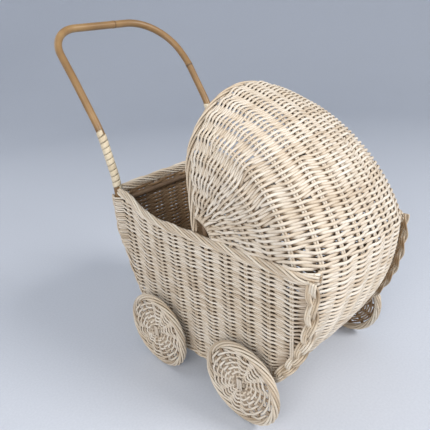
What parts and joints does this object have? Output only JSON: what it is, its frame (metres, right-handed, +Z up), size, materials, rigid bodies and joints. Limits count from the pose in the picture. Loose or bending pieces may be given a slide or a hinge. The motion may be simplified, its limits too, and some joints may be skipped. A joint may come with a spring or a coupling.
{
  "type": "doll stroller",
  "caption": "Woven cane doll pram: rounded tub with a fixed fan-shaped hood, bent cane push handle and woven disc wheels on turning wooden axles.",
  "frame": {"origin": "on the floor under the middle of the pram's overall length and width", "axes": "+Z up, +Y forward towards the hood end, +X to the pram's right"},
  "size_m": [0.3136, 0.5615, 0.575],
  "materials": {
    "woven_cane": "matt, split and round cane core",
    "border_cane": "matt, rolled bundles of cane core",
    "handle_cane": "satin, whole cane with its glossy skin",
    "frame_cane": "satin, whole cane",
    "cane_peel": "satin, flat strip of cane skin",
    "turned_wood": "matt, plain softwood",
    "nail_steel": "plain wire nails"
  },
  "bodies": {
    "tub": {"bow_nails": "nail_steel", "floor_panel": "woven_cane", "front_cross_rail": "frame_cane", "front_panel": "woven_cane", "handle_bar": "handle_cane", "handle_nails": "nail_steel", "hood_bow": "frame_cane", "hood_edge_border": "border_cane", "hood_panel": "woven_cane", "left_bottom_edging": "border_cane", "left_front_bush": "turned_wood", "left_front_plait": "border_cane", "left_handle_binding": "cane_peel", "left_rear_bush": "turned_wood", "left_rim_border": "border_cane", "left_side_panel": "woven_cane", "rear_cross_rail": "frame_cane", "rear_panel": "woven_cane", "rear_rim_border": "border_cane", "right_bottom_edging": "border_cane", "right_front_bush": "turned_wood", "right_front_plait": "border_cane", "right_handle_binding": "cane_peel", "right_rear_bush": "turned_wood", "right_rim_border": "border_cane", "right_side_panel": "woven_cane"},
    "front_wheels": {"front_axle": "turned_wood", "front_axle_pins": "turned_wood", "front_axle_spacers": "turned_wood", "left_front_hub": "turned_wood", "left_front_wheel_disc": "woven_cane", "left_front_wheel_rim": "border_cane", "right_front_hub": "turned_wood", "right_front_wheel_disc": "woven_cane", "right_front_wheel_rim": "border_cane"},
    "rear_wheels": {"left_rear_hub": "turned_wood", "left_rear_wheel_disc": "woven_cane", "left_rear_wheel_rim": "border_cane", "rear_axle": "turned_wood", "rear_axle_pins": "turned_wood", "rear_axle_spacers": "turned_wood", "right_rear_hub": "turned_wood", "right_rear_wheel_disc": "woven_cane", "right_rear_wheel_rim": "border_cane"}
  },
  "joints": [
    {"name": "front_axle_spin", "type": "hinge", "parent": "tub", "child": "front_wheels", "pos_m": [0, 0.15475, 0.072], "axis": [1, 0, 0], "continuous": true},
    {"name": "rear_axle_spin", "type": "hinge", "parent": "tub", "child": "rear_wheels", "pos_m": [0, -0.04425, 0.072], "axis": [1, 0, 0], "continuous": true}
  ]
}
